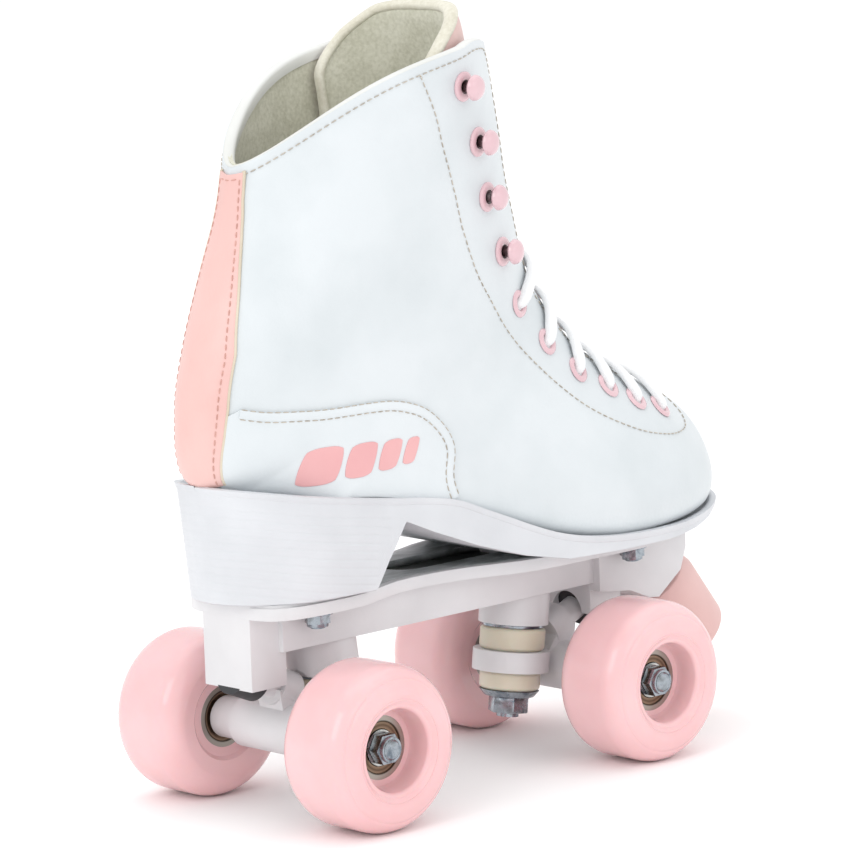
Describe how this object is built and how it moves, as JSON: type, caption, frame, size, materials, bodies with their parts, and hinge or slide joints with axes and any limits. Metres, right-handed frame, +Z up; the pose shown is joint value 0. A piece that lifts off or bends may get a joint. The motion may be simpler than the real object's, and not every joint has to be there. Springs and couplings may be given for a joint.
{
  "type": "quad roller skate",
  "caption": "High-top laced quad roller skate for the right foot with a moulded heel, steering trucks, wide urethane wheels and a toe stop.",
  "frame": {"origin": "under the middle of the skate, on the surface the wheels stand on", "axes": "+X to the toe, +Y to the inner side of the foot, +Z up"},
  "size_m": [0.2536, 0.1186, 0.2735],
  "materials": {
    "white_leather": "smooth coated synthetic leather, satin",
    "white_patch": "smooth coated synthetic leather, satin, stitched overlay",
    "lining_fabric": "brushed cream lining cloth",
    "pink_leather": "smooth coated synthetic leather, pale pink",
    "pink_enamel": "pressed steel with glossy pink enamel",
    "tongue_padding": "pink synthetic leather over foam with cream lining cloth",
    "lace_cotton": "flat woven white lace",
    "footbed_foam": "cloth covered foam",
    "insole_fibreboard": "pressed fibreboard",
    "white_sole": "moulded sole and heel with fine stack lines",
    "white_nylon": "moulded glass filled nylon",
    "zinc_steel": "bright zinc plated steel",
    "bearing_steel": "polished bearing steel",
    "bearing_outer": "bearing ring with bronze toned shield",
    "cushion_urethane": "cast cream urethane",
    "pivot_rubber": "dark moulded rubber",
    "wheel_urethane": "cast pale pink urethane, glossy",
    "stop_rubber": "moulded pale pink rubber"
  },
  "bodies": {
    "boot": {"upper": "white_leather", "lining": "lining_fabric", "backstay": "pink_leather", "counter_left": "white_patch", "counter_right": "white_patch", "eyelets_left": "pink_enamel", "eyelets_right": "pink_enamel", "hooks_left": "pink_enamel", "hooks_right": "pink_enamel", "tongue_lower": "tongue_padding", "lace": "lace_cotton", "footbed": "footbed_foam", "insole_board": "insole_fibreboard", "outsole_heel": "white_sole", "plate": "white_nylon", "mounting_bolts": "zinc_steel", "mounting_nuts": "zinc_steel", "kingpin_front": "zinc_steel", "kingpin_rear": "zinc_steel", "cushion_upper_front": "cushion_urethane", "cushion_upper_rear": "cushion_urethane", "cushion_lower_front": "cushion_urethane", "cushion_lower_rear": "cushion_urethane", "cup_washers_front": "zinc_steel", "cup_washers_rear": "zinc_steel", "kingpin_nut_front": "zinc_steel", "kingpin_nut_rear": "zinc_steel", "pivot_cup_front": "pivot_rubber", "pivot_cup_rear": "pivot_rubber", "toe_stop": "stop_rubber", "toe_stop_bolt": "zinc_steel"},
    "tongue_top": {"tongue_upper": "tongue_padding"},
    "front_truck": {"hanger_front": "white_nylon", "axle_front": "zinc_steel", "axle_nuts_front": "zinc_steel", "inner_races_front": "bearing_steel", "spacers_front": "zinc_steel"},
    "wheel_front_left": {"wheel_front_left": "wheel_urethane", "outer_races_front_left": "bearing_outer"},
    "ball_set_front_left": {"balls_front_left": "bearing_steel"},
    "wheel_front_right": {"wheel_front_right": "wheel_urethane", "outer_races_front_right": "bearing_outer"},
    "ball_set_front_right": {"balls_front_right": "bearing_steel"},
    "rear_truck": {"hanger_rear": "white_nylon", "axle_rear": "zinc_steel", "axle_nuts_rear": "zinc_steel", "inner_races_rear": "bearing_steel", "spacers_rear": "zinc_steel"},
    "wheel_rear_left": {"wheel_rear_left": "wheel_urethane", "outer_races_rear_left": "bearing_outer"},
    "ball_set_rear_left": {"balls_rear_left": "bearing_steel"},
    "wheel_rear_right": {"wheel_rear_right": "wheel_urethane", "outer_races_rear_right": "bearing_outer"},
    "ball_set_rear_right": {"balls_rear_right": "bearing_steel"}
  },
  "joints": [
    {"name": "tongue_flex", "type": "hinge", "parent": "boot", "child": "tongue_top", "pos_m": [-0.01406, 0, 0.162], "axis": [0, -1, 0], "range_deg": [0, 8], "stiffness_Nm_per_rad": 0.4},
    {"name": "steer_front", "type": "hinge", "parent": "boot", "child": "front_truck", "pos_m": [0.02394, 0, 0.034], "axis": [0.9234, 0, 0.3838], "range_deg": [-7, 7], "stiffness_Nm_per_rad": 40, "deforming": ["cushion_upper_front", "cushion_lower_front"]},
    {"name": "spin_front_left", "type": "hinge", "parent": "front_truck", "child": "wheel_front_left", "pos_m": [0.04564, 0, 0.029], "axis": [0, 1, 0], "continuous": true},
    {"name": "cage_front_left", "type": "hinge", "parent": "front_truck", "child": "ball_set_front_left", "pos_m": [0.04564, 0, 0.029], "axis": [0, 1, 0], "continuous": true},
    {"name": "spin_front_right", "type": "hinge", "parent": "front_truck", "child": "wheel_front_right", "pos_m": [0.04564, 0, 0.029], "axis": [0, 1, 0], "continuous": true},
    {"name": "cage_front_right", "type": "hinge", "parent": "front_truck", "child": "ball_set_front_right", "pos_m": [0.04564, 0, 0.029], "axis": [0, 1, 0], "continuous": true},
    {"name": "steer_rear", "type": "hinge", "parent": "boot", "child": "rear_truck", "pos_m": [-0.06586, 0, 0.034], "axis": [-0.9234, 0, 0.3838], "range_deg": [-7, 7], "stiffness_Nm_per_rad": 40, "deforming": ["cushion_upper_rear", "cushion_lower_rear"]},
    {"name": "spin_rear_left", "type": "hinge", "parent": "rear_truck", "child": "wheel_rear_left", "pos_m": [-0.08756, 0, 0.029], "axis": [0, 1, 0], "continuous": true},
    {"name": "cage_rear_left", "type": "hinge", "parent": "rear_truck", "child": "ball_set_rear_left", "pos_m": [-0.08756, 0, 0.029], "axis": [0, 1, 0], "continuous": true},
    {"name": "spin_rear_right", "type": "hinge", "parent": "rear_truck", "child": "wheel_rear_right", "pos_m": [-0.08756, 0, 0.029], "axis": [0, 1, 0], "continuous": true},
    {"name": "cage_rear_right", "type": "hinge", "parent": "rear_truck", "child": "ball_set_rear_right", "pos_m": [-0.08756, 0, 0.029], "axis": [0, 1, 0], "continuous": true}
  ],
  "couplings": [
    {"joint": "cage_front_left", "follows": "spin_front_left", "ratio": 0.6333},
    {"joint": "cage_front_right", "follows": "spin_front_right", "ratio": 0.6333},
    {"joint": "cage_rear_left", "follows": "spin_rear_left", "ratio": 0.6333},
    {"joint": "cage_rear_right", "follows": "spin_rear_right", "ratio": 0.6333}
  ]
}
